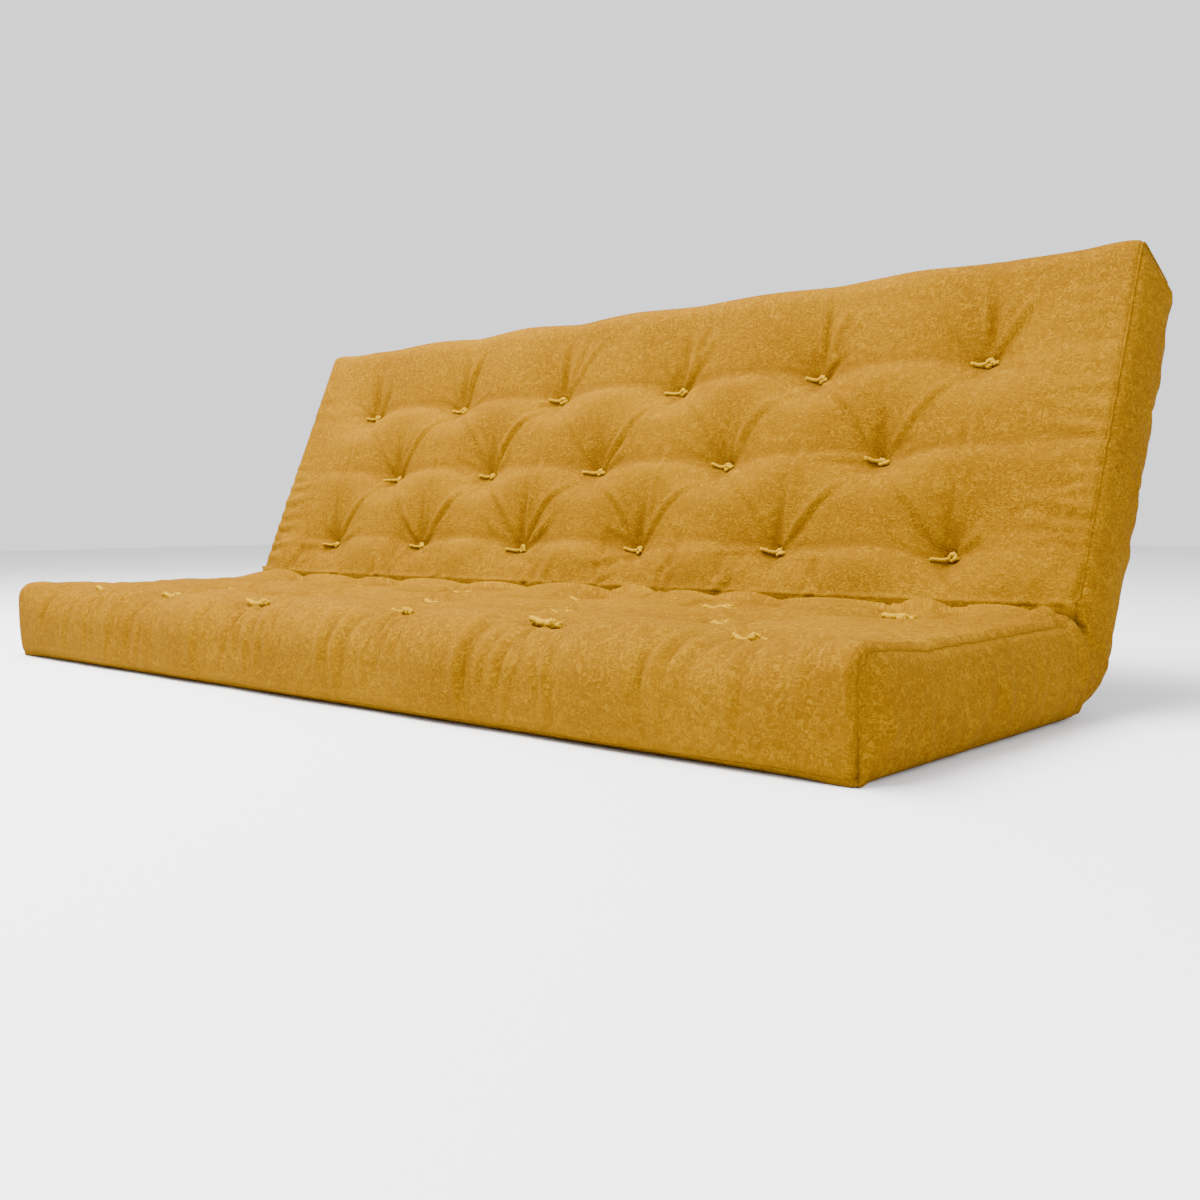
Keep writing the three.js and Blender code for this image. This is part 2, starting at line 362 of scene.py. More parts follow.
def creases(section, x, along):
    """Creases that run from tie to tie and fan out of each tie."""
    nearest_row, farthest_row, widest_step, same_row = 0.06, 0.32, 0.2, 0.03
    rise = np.zeros_like(x)
    places = [(px, pa) for _, px, pa in ties[section]]
    top = max(aa for _, aa in places)
    for ax, aa in places:
        for bx, ba in places:
            if not (nearest_row < ba - aa < farthest_row and abs(bx - ax) < widest_step):
                continue
            rightward = bx > ax
            height = chance.uniform(0.0026, 0.0052) if rightward else chance.uniform(0.0026, 0.0046)
            bow = chance.uniform(0.004, 0.022) * (-1 if rightward else 1)
            reach = chance.uniform(0.8, 1.08)
            end = (ax + (bx - ax) * reach, aa + (ba - aa) * reach)
            rise += fold_line(x, along, (ax, aa), end, bow, chance.uniform(0.005, 0.008), height,
                              0.6, 1 if rightward else -1)
        if top - aa < same_row:
            leans = (chance.uniform(-0.3, 0.1), chance.uniform(0.15, 0.5), chance.uniform(0.5, 0.9))
            for lean in leans:
                reach = chance.uniform(0.12, 0.2)
                end = (ax + reach * math.sin(lean), aa + reach * math.cos(lean))
                rise += fold_line(x, along, (ax, aa), end, chance.uniform(-0.015, 0.005),
                                  chance.uniform(0.006, 0.009), chance.uniform(0.002, 0.0045))
        rise += fan(x, along, (ax, aa), 6, (-25, 205), (0.07, 0.15), 0.012, (0.001, 0.0026))
        rise += fan(x, along, (ax, aa), 4, (205, 335), (0.05, 0.11), 0.01, (0.001, 0.002))
    return rise


def over_rows(along, rows):
    """The distance from the crease of every point in the given rows."""
    return np.broadcast_to(along[rows, None], x_grid[rows].shape)


# Each of the four sides: how deep its ties pull, how much of that is a tight point, how far the dent
# spreads up and down, how deep the row between ties is pinched, and how far that row arches.
sides = (
    ("seat", on_seat_face, along_face,
     dict(pull=0.029, point=0.1, spread_up=0.12, spread_down=0.085, groove=0.018, arch=0.006)),
    ("seat", on_seat_under, along_under,
     dict(pull=0.013, point=0.7, spread_up=0.022, spread_down=0.022, groove=0, arch=0)),
    ("back", on_back_face, along_face,
     dict(pull=0.047, point=0.5, spread_up=0.105, spread_down=0.055, groove=0.029, arch=0.013)),
    ("back", on_back_rear, along_under,
     dict(pull=0.026, point=0.5, spread_up=0.08, spread_down=0.08, groove=0.012, arch=0)),
)
rise = np.zeros_like(x_grid)
for section, rows, along, dent in sides:
    a = over_rows(along, rows)
    rise[rows] = -pulled_in(section, x_grid[rows], a, **dent)
    if dent["groove"]:
        rise[rows] += creases(section, x_grid[rows], a)


# --- Face cloth and underside cloth ------------------------------------------------------------
# Woven linen and cotton, sewn into a bag. The face cloth wraps over the seat's front edge and the
# back's top edge, is gathered at the seams and the crease, and swells over the filling between them.
front_top, front_foot = seat_depth - 0.06, float(along_face[0])
front_a = over_rows(along_face, on_seat_face)
# Creases down the seat's rounded front edge, gathered below each tie of the edge row.
for name, px, pa in ties["seat"]:
    if "_edge_" not in name:
        continue
    for _ in range(9):
        x = px + chance.gauss(0, 0.06)
        start = (x, front_top + chance.uniform(-0.01, 0.03))
        end = (x + chance.uniform(-0.03, 0.03), front_foot + chance.uniform(-0.06, 0.02))
        rise[on_seat_face] += fold_line(x_grid[on_seat_face], front_a, start, end,
                                        chance.uniform(-0.008, 0.008),
                                        chance.uniform(0.005, 0.009), chance.uniform(0.002, 0.0044))

# Short pleats gathered where the back's face turns into the crease, and softer ones on the seat.
pleat_foot = 0.012
for rows, count, tall in ((on_back_side, 34, 0.003), (on_seat_side, 18, 0.0015)):
    near_a = over_rows(along_face, rows)
    for _ in range(count):
        x = chance.uniform(-half_length + 0.05, half_length - 0.05)
        end = (x + chance.gauss(0, 0.03), chance.uniform(0.05, 0.12))
        rise[rows] += fold_line(x_grid[rows], near_a, (x, pleat_foot), end, chance.uniform(-0.006, 0.006),
                                chance.uniform(0.005, 0.009), chance.uniform(0.3, 1) * tall)

# Where the two faces meet they swell into uneven puffs that press on each other along the crease.
deepest_a = float(along_face[valley])
puff_inset = 0.03
for rows, tall, crest, reach in ((on_seat_side, 0.017, 0.02, 0.07), (on_back_side, 0.009, 0.065, 0.05)):
    cusps = [-half_length + puff_inset]
    while cusps[-1] < half_length - puff_inset:
        cusps.append(cusps[-1] + chance.uniform(0.09, 0.21))
    cusps[-1] = half_length - 0.02
    near_a = over_rows(along_face, rows)
    for left, right in zip(cusps, cusps[1:]):
        t = np.clip((x_grid[rows] - left) / (right - left), 0, 1)
        swell = tall * chance.uniform(0.45, 1) * (4 * t * (1 - t)) ** 0.8
        above_crease = np.exp(-((near_a - crest) / reach) ** 2) * smooth_step(near_a, deepest_a, crest)
        rise[rows] += swell * above_crease
        for _ in range(2):
            end = (right + chance.gauss(0, 0.025), chance.uniform(0.05, 0.1))
            rise[rows] += fold_line(x_grid[rows], near_a, (right, pleat_foot), end,
                                    chance.uniform(-0.01, 0.01),
                                    chance.uniform(0.005, 0.008), chance.uniform(0.0015, 0.0035))

# The cloth is gathered a little at the end seams, in short creases that run in from them.
past_seam = half_length + 0.005
for rows, count in ((on_back_face, 24), (on_seat_face, 14), (on_back_rear, 7)):
    along = along_face if rows is not on_back_rear else along_under
    near_a = over_rows(along, rows)
    for side in (-1, 1):
        for _ in range(count):
            a = chance.uniform(0.03, 0.5)
            end = (side * (half_length - chance.uniform(0.07, 0.17)), a + chance.gauss(0, 0.02))
            start = (side * past_seam, a)
            rise[rows] += fold_line(x_grid[rows], near_a, start, end, chance.uniform(-0.006, 0.006),
                                    chance.uniform(0.005, 0.012), chance.uniform(0.0006, 0.0019))

# Low on the back, where the end seams were eased in, the gathers are fewer and stronger.
gather_chance = random.Random(19)
gather_count, lowest_gather, gather_step = 8, 0.07, 0.028
back_a = over_rows(along_face, on_back_face)
for side in (-1, 1):
    for k in range(gather_count):
        a = lowest_gather + gather_step * k + gather_chance.uniform(-0.008, 0.008)
        start = (side * past_seam, a)
        inner_end = side * (half_length - gather_chance.uniform(0.06, 0.13))
        end = (inner_end, a + gather_chance.uniform(-0.005, 0.03))
        rise[on_back_face] += fold_line(x_grid[on_back_face], back_a, start, end,
                                        gather_chance.uniform(-0.005, 0.005),
                                        gather_chance.uniform(0.005, 0.008),
                                        gather_chance.uniform(0.0018, 0.0036))

# At the ends of the back's rear the filling swells out past the seam in a few soft lumps.
rear_a = over_rows(along_under, on_back_rear)
lowest_lump, lump_inset, lump_width = 0.10, 0.045, 0.05
for side in (-1, 1):
    low = lowest_lump
    while low < back_height - 0.12:
        high = low + chance.uniform(0.09, 0.15)
        t = np.clip((rear_a - low) / (high - low), 0, 1)
        near_end = np.exp(-((half_length - side * x_grid[on_back_rear] - lump_inset) / lump_width) ** 2)
        taller_above = 0.7 + 0.9 * low / back_height
        lump = taller_above * chance.uniform(0.011, 0.021) * (4 * t * (1 - t)) ** 1.2
        rise[on_back_rear] += lump * near_end
        low = high + chance.uniform(0.0, 0.02)

# The back's top edge dips a little above each tie of its upper row and swells between them.
top_face_rows = 24
top_rows = (loop_index > face_end - top_face_rows) & (loop_index <= under_start)
over_top = np.clip((loop_index[top_rows] - face_end + top_face_rows) / (top_face_rows + edge_rows), 0, 1)
top_share = np.sin(math.pi * over_top)[:, None]
dip_width, hump_width, hump_offset = 0.05, 0.06, 0.15
for name, px, pa in ties["back"]:
    if "_edge_" in name:
        dip, hump = x_line - px, x_line - px - hump_offset
        rise[top_rows] -= top_share * chance.uniform(0.001, 0.004) * np.exp(-(dip / dip_width) ** 2)
        rise[top_rows] += top_share * chance.uniform(0.001, 0.004) * np.exp(-(hump / hump_width) ** 2)

# The crown: the cloth comes down to the end seams, and less so along the rounded long edges.
end_crown, face_crown, rear_crown, front_swell = 0.009, 0.006, 0.010, 0.012
crown_reach = 0.08
crease_columns = lip_columns + wall_columns
t = np.clip(1 - to_end / crown_reach, 0, 1)
on_flat = (np.abs(loop_index[:, None] - valley) > crease_columns) & ~(loop_index[:, None] >= under_seat)
rise = rise - end_crown * (1 - np.sqrt(1 - t ** 2)) * on_flat
from_crease = smooth_step(np.abs(loop_index - valley)[:, None], crease_columns, crease_columns + 22)
rise[:under_start] += (face_crown * smooth_step(to_end, 0.02, 0.2) * from_crease)[:under_start]
low_row, high_row = -4, edge_rows + 22
front_row = np.where(loop_index > loop_count - 8, loop_index - loop_count, loop_index)
t = np.clip((front_row - low_row) / (high_row - low_row), 0, 1)[:, None]
rise += front_swell * np.sin(math.pi * t ** 0.75) ** 0.9
from_fold = (smooth_step(along_under[on_back_rear, None], 0.02, 0.12)
             * smooth_step(under_back - loop_index[on_back_rear, None], 0, 20))
from_top = smooth_step(loop_index[on_back_rear, None] - under_start, 0, 9)
rise[on_back_rear] += rear_crown * smooth_step(to_end, 0.0, 0.09) * from_fold * from_top

# The seams lie a little below the cloth, apart from the back's face, where they stand up.
seam_sink = 0.0045
seam_stands = (loop_index >= back_lip) & (loop_index <= under_start)
rise[:, [0, -1]] -= seam_sink * ~seam_stands[:, None]
rise[under_start, 1:-1] -= seam_sink
surface = outline + rise[..., None] * outward
grid = np.concatenate([x_grid[..., None], surface], -1)


def drawn_together(a, b, rest, share):
    """Moves two sets of neighbouring points towards their right distance, each by the same share."""
    d = b - a
    d *= share * (1 - rest / np.linalg.norm(d, axis=-1, keepdims=True))
    a += d
    b -= d


def settled(shape, cut, slack, hold, steps):
    """The cloth of the given cut, eased over the stuffing until its slack lies in small creases."""
    thread_share, skew_share, smoothing, drift_back = 0.45, 0.12, 0.10, 0.004
    outward_give, inward_give = 0.012, 0.05
    first_ripple, farthest_move, floor_clearance = 0.0012, 0.009, 0.0005
    skew_pairs = ((slice(1, None), slice(None, -1)), (slice(None, -1), slice(1, None)))
    normal = np.concatenate([np.zeros_like(rise)[..., None], outward], -1).astype(np.float32)
    shape, cut = shape.astype(np.float32), cut.astype(np.float32)
    ripple = np.random.default_rng(11).normal(0, first_ripple, rise.shape).astype(np.float32)
    ripple = (ripple + np.roll(ripple, 1, 0) + np.roll(ripple, -1, 0)) / 3
    cloth = shape + ripple[..., None] * normal * (1 - hold[..., None])
    spare = (1 + slack).astype(np.float32)[..., None]
    length_x = np.linalg.norm(np.diff(cut, axis=1), axis=-1, keepdims=True) * spare[:, :-1]
    length_a = np.linalg.norm(np.roll(cut, -1, 0) - cut, axis=-1, keepdims=True) * spare
    skew = [np.linalg.norm(np.roll(cut, -1, 0)[:, s] - cut[:, e], axis=-1, keepdims=True) * spare[:, :-1]
            for s, e in skew_pairs]
    free = (1 - hold[..., None]).astype(np.float32)
    for _ in range(steps):
        for c in (0, 1):
            a, b = cloth[:, c:-1:2], cloth[:, c + 1::2]
            drawn_together(a[:, :b.shape[1]], b, length_x[:, c::2], thread_share)
        for c in (0, 1):
            cloth = np.roll(cloth, -c, 0)
            drawn_together(cloth[0::2], cloth[1::2], np.roll(length_a, -c, 0)[0::2], thread_share)
            cloth = np.roll(cloth, c, 0)
        after = np.roll(cloth, -1, 0)
        for (s, e), rest in zip(skew_pairs, skew):
            drawn_together(cloth[:, e], after[:, s], rest, skew_share)
        move = cloth - shape
        along_normal = (move * normal).sum(-1, keepdims=True)
        give = np.where(along_normal > 0, outward_give, inward_give)
        smooth = move.copy()
        smooth[:, 1:-1] = (move[:, :-2] + move[:, 2:] + np.roll(move, 1, 0)[:, 1:-1]
                           + np.roll(move, -1, 0)[:, 1:-1]) / 4
        move += smoothing * (smooth - move) - give * along_normal * normal - drift_back * move
        size = np.linalg.norm(move, axis=-1, keepdims=True)
        move *= np.minimum(1, farthest_move / np.maximum(size, 1e-6)) * free
        cloth = shape + move
    cloth = cloth.astype(float)
    cloth[..., 2] = np.maximum(cloth[..., 2], floor_clearance)
    return cloth


# The cloth has 1 to 4 % of slack, in broad patches. It is held at the ties and the end seams,
# and less firmly at the long seams, underneath and in the crease.
least_slack, patch_slack, patch_rounds = 0.014, 0.022, 60
long_seam_hold, under_hold, crease_hold = 0.5, 0.75, 0.6
crease_rows, tie_reach, settling_steps = 4, 0.007, 220
field = np.random.default_rng(5).normal(0, 1, rise.shape)
for _ in range(patch_rounds):
    field = (field + np.roll(field, 1, 0) + np.roll(field, -1, 0)) / 3
    field = np.pad(field, ((0, 0), (1, 1)), mode="edge")
    field = (field[:, :-2] + field[:, 1:-1] + field[:, 2:]) / 3
field /= np.abs(field).max()
cloth_slack = least_slack + patch_slack * np.clip(field + 0.2, 0, 1)
hold = np.zeros_like(rise)
hold[:, [0, -1]] = 1
hold[[0, under_start]] = long_seam_hold
hold[loop_index >= under_seat] = under_hold
hold[np.abs(loop_index - valley) <= crease_rows] = crease_hold
for section, rows, along, _ in sides:
    for _, px, pa in ties[section]:
        near = np.hypot(x_grid[rows] - px, along[rows, None] - pa) < tie_reach
        hold[rows] = np.where(near, 1, hold[rows])
grid = settled(grid, grid, cloth_slack, hold, settling_steps)


# --- End panels --------------------------------------------------------------------------------
# Each end is closed by one bent panel of the same linen and cotton, sewn in along all its edges.
# The filling presses it out a little, and its slack lies in shallow slanting wrinkles.
# With the two faces it makes up the bag, so the casing is one mesh.
end_bulge = 0.021
column_pitch = 0.0064
wrinkle_count = 64


def end_panel(side):
    """A bulged patch between the four edge lines of one end: its point numbers and inner points."""
    j = 0 if side < 0 else length_steps
    ids = np.full((path_columns + 1, edge_rows + 1), -1)
    a = np.arange(path_columns + 1)
    b = np.arange(edge_rows + 1)
    ids[:, 0] = (-a) % loop_count
    ids[:, -1] = face_start + a
    ids[0, :] = b
    ids[-1, :] = under_start - b
    line = grid[:, j]
    lower, upper = line[ids[:, 0]][:, None], line[ids[:, -1]][:, None]
    front, top = line[ids[0]][None], line[ids[-1]][None]
    s = (b / edge_rows)[None, :, None]
    r = (a / path_columns)[:, None, None]
    patch = (lower * (1 - s) + upper * s + front * (1 - r) + top * r
             - (lower[:1] * (1 - s) + upper[:1] * s) * (1 - r)
             - (lower[-1:] * (1 - s) + upper[-1:] * s) * r)
    fade = smooth_step(np.minimum(a, path_columns - a), 0, 9)[:, None]
    skewed = s[..., 0] ** 0.8
    patch[..., 0] += side * end_bulge * (4 * skewed * (1 - skewed)) ** 0.7 * fade
    far = np.broadcast_to(column_pitch * a[:, None], patch.shape[:2])
    over = np.broadcast_to(thickness * b[None] / edge_rows, patch.shape[:2])
    for _ in range(wrinkle_count):
        root = chance.uniform(0, column_pitch * path_columns)
        foot = chance.uniform(-0.02, 0.06)
        tip = (root + chance.gauss(0.03, 0.02) * side, foot + chance.uniform(0.05, 0.11))
        wrinkle = fold_line(far, over, (root, foot), tip, chance.uniform(-0.01, 0.01),
                            chance.uniform(0.009, 0.015), chance.uniform(0.001, 0.003))
        patch[..., 0] += side * fade * wrinkle
    inner = patch[1:-1, 1:-1].reshape(-1, 3)
    return ids * stride + j, inner


stride = length_steps + 1
verts = grid.reshape(-1, 3)
k = loop_index[:, None]
after = (k + 1) % loop_count
j = np.arange(length_steps)[None]
quads = [np.stack([k * stride + j, k * stride + j + 1, after * stride + j + 1, after * stride + j], -1)
         .reshape(-1, 4)]
for side in (-1, 1):
    ids, inner = end_panel(side)
    ids[1:-1, 1:-1] = len(verts) + np.arange(len(inner)).reshape(path_columns - 1, edge_rows - 1)
    verts = np.concatenate([verts, inner])
    patch = np.stack([ids[:-1, :-1], ids[1:, :-1], ids[1:, 1:], ids[:-1, 1:]], -1).reshape(-1, 4)
    quads.append(patch if side > 0 else patch[:, ::-1])
quads = np.concatenate(quads)
casing_mesh = bpy.data.meshes.new("casing")
casing_mesh.from_pydata(verts.tolist(), [], quads.tolist())
casing_mesh.polygons.foreach_set("use_smooth", np.ones(len(quads), bool))
casing_mesh.update()
casing = bpy.data.objects.new("casing", casing_mesh)
bpy.context.scene.collection.objects.link(casing)


# --- Linen of the casing -----------------------------------------------------------------------
# A plain weave of mustard linen and cotton, soft and a little felted on its surface. Small curls of
# fibre stand on it and slubs cross it. The linen is painted paler where the cloth stands out, as rubbed
# wear, and darker where it sinks into dents and creases, which is painted shade.
class Dye:
    """One socket of a finish's nodes, so that sums on what varies over the cloth read as sums."""

    def __init__(self, socket):
        self.socket = socket

    def node(self, kind, settings, sockets, out=0):
        """A new node of this finish, with its settings and what feeds its sockets."""
        tree = self.socket.id_data
        made = tree.nodes.new(kind)
        for key, value in settings.items():
            setattr(made, key, value)
        for key, value in sockets.items():
            if isinstance(value, Dye):
                tree.links.new(value.socket, made.inputs[key])
            else:
                made.inputs[key].default_value = value
        return Dye(made.outputs[out])

    def feeds(self, socket):
        """Joins this to a socket of the finish."""
        self.socket.id_data.links.new(self.socket, socket)

    def worked(self, operation, first, second=0.0):
        return self.node("ShaderNodeMath", {"operation": operation}, {0: first, 1: second})

    def __add__(self, other):
        return self.worked("ADD", self, other)

    def __radd__(self, other):
        return self.worked("ADD", other, self)

    def __sub__(self, other):
        return self.worked("SUBTRACT", self, other)

    def __rsub__(self, other):
        return self.worked("SUBTRACT", other, self)

    def __mul__(self, other):
        return self.worked("MULTIPLY", self, other)

    def __rmul__(self, other):
        return self.worked("MULTIPLY", other, self)

    def __abs__(self):
        return self.worked("ABSOLUTE", self)

    def eased(self, low, high):
        """0 below low, 1 above high, and a soft step between them."""
        return self.node("ShaderNodeMapRange", {"interpolation_type": "SMOOTHSTEP"},
                         {"Value": self, "From Min": low, "From Max": high})

    def noise(self, scale, detail=2.0, twist=0.0, stretch=(1, 1, 1), shift=0.0):
        """Soft uneven patches over the cloth, 0 to 1."""
        placed = self.node("ShaderNodeVectorMath", {"operation": "MULTIPLY_ADD"},
                           {0: self, 1: stretch, 2: (shift, shift, shift)})
        return self.node("ShaderNodeTexNoise", {},
                         {"Vector": placed, "Scale": scale, "Detail": detail, "Distortion": twist}, "Fac")

    def between(self, first, second):
        """The first colour where this is 0, the second where it is 1."""
        return self.node("ShaderNodeMix", {"data_type": "RGBA"}, {0: self, 6: first, 7: second}, 2)


ochre = (0.1520, 0.0648, 0.0005, 1)
ochre_light = (0.1860, 0.0850, 0.0007, 1)
ochre_deep = (0.0960, 0.0368, 0.0003, 1)
fibre_colour = (0.32, 0.166, 0.001, 1)
slub_colour = (0.34, 0.18, 0.002, 1)
linen_sheen = (1, 0.62, 0.08, 1)
thread_pitch = 0.0012
nap_height = 0.0012

linen = bpy.data.materials.new("mustard_linen")
linen.use_nodes = True
surface_shader = linen.node_tree.nodes["Principled BSDF"]
start = Dye(surface_shader.outputs[0])
place = start.node("ShaderNodeUVMap", {"uv_map": "weave"}, {})
across_place = place.node("ShaderNodeSeparateXYZ", {}, {0: place}, "X")
along_place = place.node("ShaderNodeSeparateXYZ", {}, {0: place}, "Y")
turns = 2 * math.pi / thread_pitch
warp = across_place.worked("SINE", across_place * turns)
weft = along_place.worked("SINE", along_place * turns)
weave = warp * weft
cloudy = place.noise(5, 1)
mottled = place.noise(110, 3, 0.6, shift=3.1)
flecked = place.noise(420, 2, 0.2, shift=5.7)
slub_across = place.noise(26, 2, 0.15, (1, 30, 1), 1.7).eased(0.60, 0.74)
slub_along = place.noise(26, 2, 0.15, (30, 1, 1), 2.9).eased(0.61, 0.75)
fibres, hollows = 0, 0
for scale, shift, width in ((82, 4.2, 0.060), (128, 8.8, 0.076)):
    curl = place.noise(scale, 1.2, 1.3, shift=shift)
    patch = 0.6 + 0.4 * place.noise(scale * 0.3, 1, 0, shift=shift + 1).eased(0.35, 0.65)
    fibres = (1 - abs(curl - 0.46).eased(0.0, width)) * patch + fibres
    hollows = (1 - abs(curl - 0.57).eased(0.0, width)) * patch + hollows
wear_and_crease_shade = start.node("ShaderNodeAttribute", {"attribute_name": "wear_and_crease_shade"}, {}, "Fac")
base = cloudy.eased(0.3, 0.7).between(ochre, ochre_light)
base = (mottled.eased(0.35, 0.70) * 0.32).between(base, ochre_deep)
base = (flecked.eased(0.35, 0.75) * 0.30).between(base, ochre_deep)
base = (hollows.eased(0, 1.3) * 0.36).between(base, ochre_deep)
base = (fibres.eased(0, 1.3) * 0.44).between(base, fibre_colour)
base = ((slub_across + slub_along).eased(0, 1) * 0.24).between(base, slub_colour)
# Paler where the cloth stands out, as rubbed wear, and darker where it sinks in, which is painted shade in
# the dents and creases.
base = (wear_and_crease_shade.eased(0.1, 1.0) * 0.30).between(base, ochre_light)
base = (wear_and_crease_shade.eased(-0.1, -1.0) * 0.35).between(base, ochre_deep)
base.feeds(surface_shader.inputs["Base Color"])
(0.80 + 0.12 * mottled).feeds(surface_shader.inputs["Roughness"])
height = (weave * 0.25 + flecked * 0.6 + mottled * 0.5 + fibres * 0.9 - hollows * 0.3
          + (slub_across + slub_along) * 0.6)
bump = height.node("ShaderNodeBump", {}, {"Strength": 0.75, "Distance": nap_height, "Height": height})
bump.feeds(surface_shader.inputs["Normal"])
surface_shader.inputs["Sheen Weight"].default_value = 0.03
surface_shader.inputs["Sheen Roughness"].default_value = 0.45
surface_shader.inputs["Sheen Tint"].default_value = linen_sheen
surface_shader.inputs["Specular IOR Level"].default_value = 0.025
casing_mesh.materials.append(linen)

# Where each point lies on the flat cloth, in metres, and how far it stands out of its surroundings.
around = np.concatenate([run, [run[-1] + np.linalg.norm(middle_loop[0] - middle_loop[-1])]])
flat_x = x_line - x_line[0]
wrapped_shape = (loop_count, length_steps, 4)
wrapped_u = np.stack([flat_x[:-1], flat_x[1:], flat_x[1:], flat_x[:-1]], -1)[None]
wrapped_v = np.stack([around[:-1], around[:-1], around[1:], around[1:]], -1)[:, None]
end_shift_u, end_shift_v = 2.3, 3.7
end_points = verts[quads[loop_count * length_steps:]][..., 1:]
corner_u = np.concatenate([np.broadcast_to(wrapped_u, wrapped_shape).reshape(-1, 4),
                           end_points[..., 0] + end_shift_u])
corner_v = np.concatenate([np.broadcast_to(wrapped_v, wrapped_shape).reshape(-1, 4),
                           end_points[..., 1] + end_shift_v])
weave_map = casing_mesh.uv_layers.new(name="weave")
weave_map.data.foreach_set("uv", np.stack([corner_u, corner_v], -1).ravel())

# How far each point stands out of its surroundings: it paints the linen paler there as rubbed wear, and
# darker in dents and creases as painted shade.
blur_rounds, full_stand = 30, 0.003
settled_rise = ((grid[..., 1:] - outline) * outward).sum(-1)
blurred = settled_rise
for _ in range(blur_rounds):
    blurred = (np.roll(blurred, 1, 0) + np.roll(blurred, -1, 0) + 2 * blurred) / 4
    blurred = np.pad(blurred, ((0, 0), (1, 1)), mode="edge")
    blurred = (blurred[:, :-2] + blurred[:, 2:] + 2 * blurred[:, 1:-1]) / 4
stands_out = np.clip((settled_rise - blurred) / full_stand, -1, 1)
wear_and_crease_shade_values = np.concatenate([stands_out.ravel(), np.zeros(len(verts) - stands_out.size)])
casing_mesh.attributes.new("wear_and_crease_shade", "FLOAT", "POINT").data.foreach_set("value", wear_and_crease_shade_values)

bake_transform(casing)
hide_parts(*[name for name in frame["nodes"] if "_tie_" not in name])


# --- Seams -------------------------------------------------------------------------------------
# The face cloth, the underside cloth and the two end panels are sewn right sides together and turned,
# so each join stands as a narrow rolled ridge of the same cloth, puckered at every stitch.
stitch_length, stitch_bite = 0.0045, 0.28
seam_step, seam_sides = 0.0015, 7
thin_seam, standing_seam = 0.0009, 0.0011
seam_shift = 5.1


def square_to(path, first_side, closed=False):
    """Two directions square to a path at each of its points, carried along without a twist."""
    ahead = np.roll(path, -1, 0) - np.roll(path, 1, 0) if closed else np.gradient(path, axis=0)
    ahead /= np.linalg.norm(ahead, axis=1, keepdims=True)
    side = np.cross(ahead[0], first_side)
    side_ways = []
    for direction in ahead:
        side = side - direction * (side @ direction)
        side = side / np.linalg.norm(side)
        side_ways.append(side)
    side_ways = np.array(side_ways)
    return side_ways, np.cross(ahead, side_ways)


def tube(path, radii, sides, closed=False):
    """Points and faces of a round bar along a path, with its own radius at each point."""
    path = np.asarray(path, float)
    count = len(path)
    side_way, up_way = square_to(path, (0.3, 0.5, 0.81), closed)
    turn = np.linspace(0, 2 * math.pi, sides, endpoint=False)[None, :, None]
    ring = np.cos(turn) * side_way[:, None] + np.sin(turn) * up_way[:, None]
    points = (path[:, None] + ring * np.asarray(radii, float)[:, None, None]).reshape(-1, 3)
    k = np.arange(count if closed else count - 1)[:, None]
    s = np.arange(sides)[None]
    after = (k + 1) % count
    faces = np.stack([k * sides + s, k * sides + (s + 1) % sides, after * sides + (s + 1) % sides,
                      after * sides + s], -1).reshape(-1, 4).tolist()
    if not closed:
        faces.append(list(range(sides))[::-1])
        faces.append(list(range((count - 1) * sides, count * sides)))
    return points, faces


def made_piece(name, parts, finish):
    """One object from several sets of points and faces."""
    points, faces = [], []
    for part_points, part_faces in parts:
        base = sum(len(p) for p in points)
        points.append(part_points)
        faces += [[i + base for i in face] for face in part_faces]
    mesh = bpy.data.meshes.new(name)
    mesh.from_pydata(np.concatenate(points).tolist(), [], faces)
    mesh.polygons.foreach_set("use_smooth", np.ones(len(mesh.polygons), bool))
    mesh.materials.append(finish)
    mesh.update()
    piece = bpy.data.objects.new(name, mesh)
    bpy.context.scene.collection.objects.link(piece)
    return piece


def resampled(path, step, closed=False):
    """The same line in even steps."""
    path = np.asarray(path, float)
    if closed:
        path = np.concatenate([path, path[:1]])
    far = distance_along(path[:, :3])
    count = max(2, round(far[-1] / step))
    places = np.linspace(0, far[-1], count + 1)
    smooth = np.stack([np.interp(places, far, path[:, i]) for i in range(path.shape[1])], -1)
    return smooth[:-1] if closed else smooth


def seam(name, path, closed=False, stands=None):
    """A rolled ridge along a seam: full where it stands up, thin where the cloth swells over it."""
    floor_clearance = 0.0003
    full = np.zeros(len(path))
    if stands is not None:
        full = np.convolve(np.pad(stands.astype(float), 4, mode="wrap"), np.ones(9) / 9, "valid")
    path = resampled(np.concatenate([path, full[:, None]], -1), seam_step, closed)
    far = np.arange(len(path)) * seam_step
    pucker = 1 - stitch_bite * np.abs(np.sin(math.pi * far / stitch_length)) ** 6
    radii = (thin_seam + standing_seam * path[:, 3]) * pucker
    points, faces = tube(path[:, :3], radii, seam_sides, closed)
    points[:, 2] = np.maximum(points[:, 2], floor_clearance)
    piece = made_piece(name, [(points, faces)], seam_cloth)
    corners = np.empty(len(piece.data.loops), int)
    piece.data.loops.foreach_get("vertex_index", corners)
    laid = np.stack([far[corners // seam_sides], corners % seam_sides * 0.0016 + seam_shift], -1)
    piece.data.uv_layers.new(name="weave").data.foreach_set("uv", laid.ravel())
    return piece


seam_cloth = linen.copy()
seam_cloth.name = "seam_linen"
for side, j in (("left", 0), ("right", length_steps)):
    ring = grid[:, j]
    rolled = seam(side + "_end_seam", ring, True, seam_stands)
    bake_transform(rolled)
front_seam = seam("front_long_seam", grid[0])
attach(front_seam, "seat_section")
top_seam = seam("top_long_seam", grid[under_start])
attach(top_seam, "back_section")


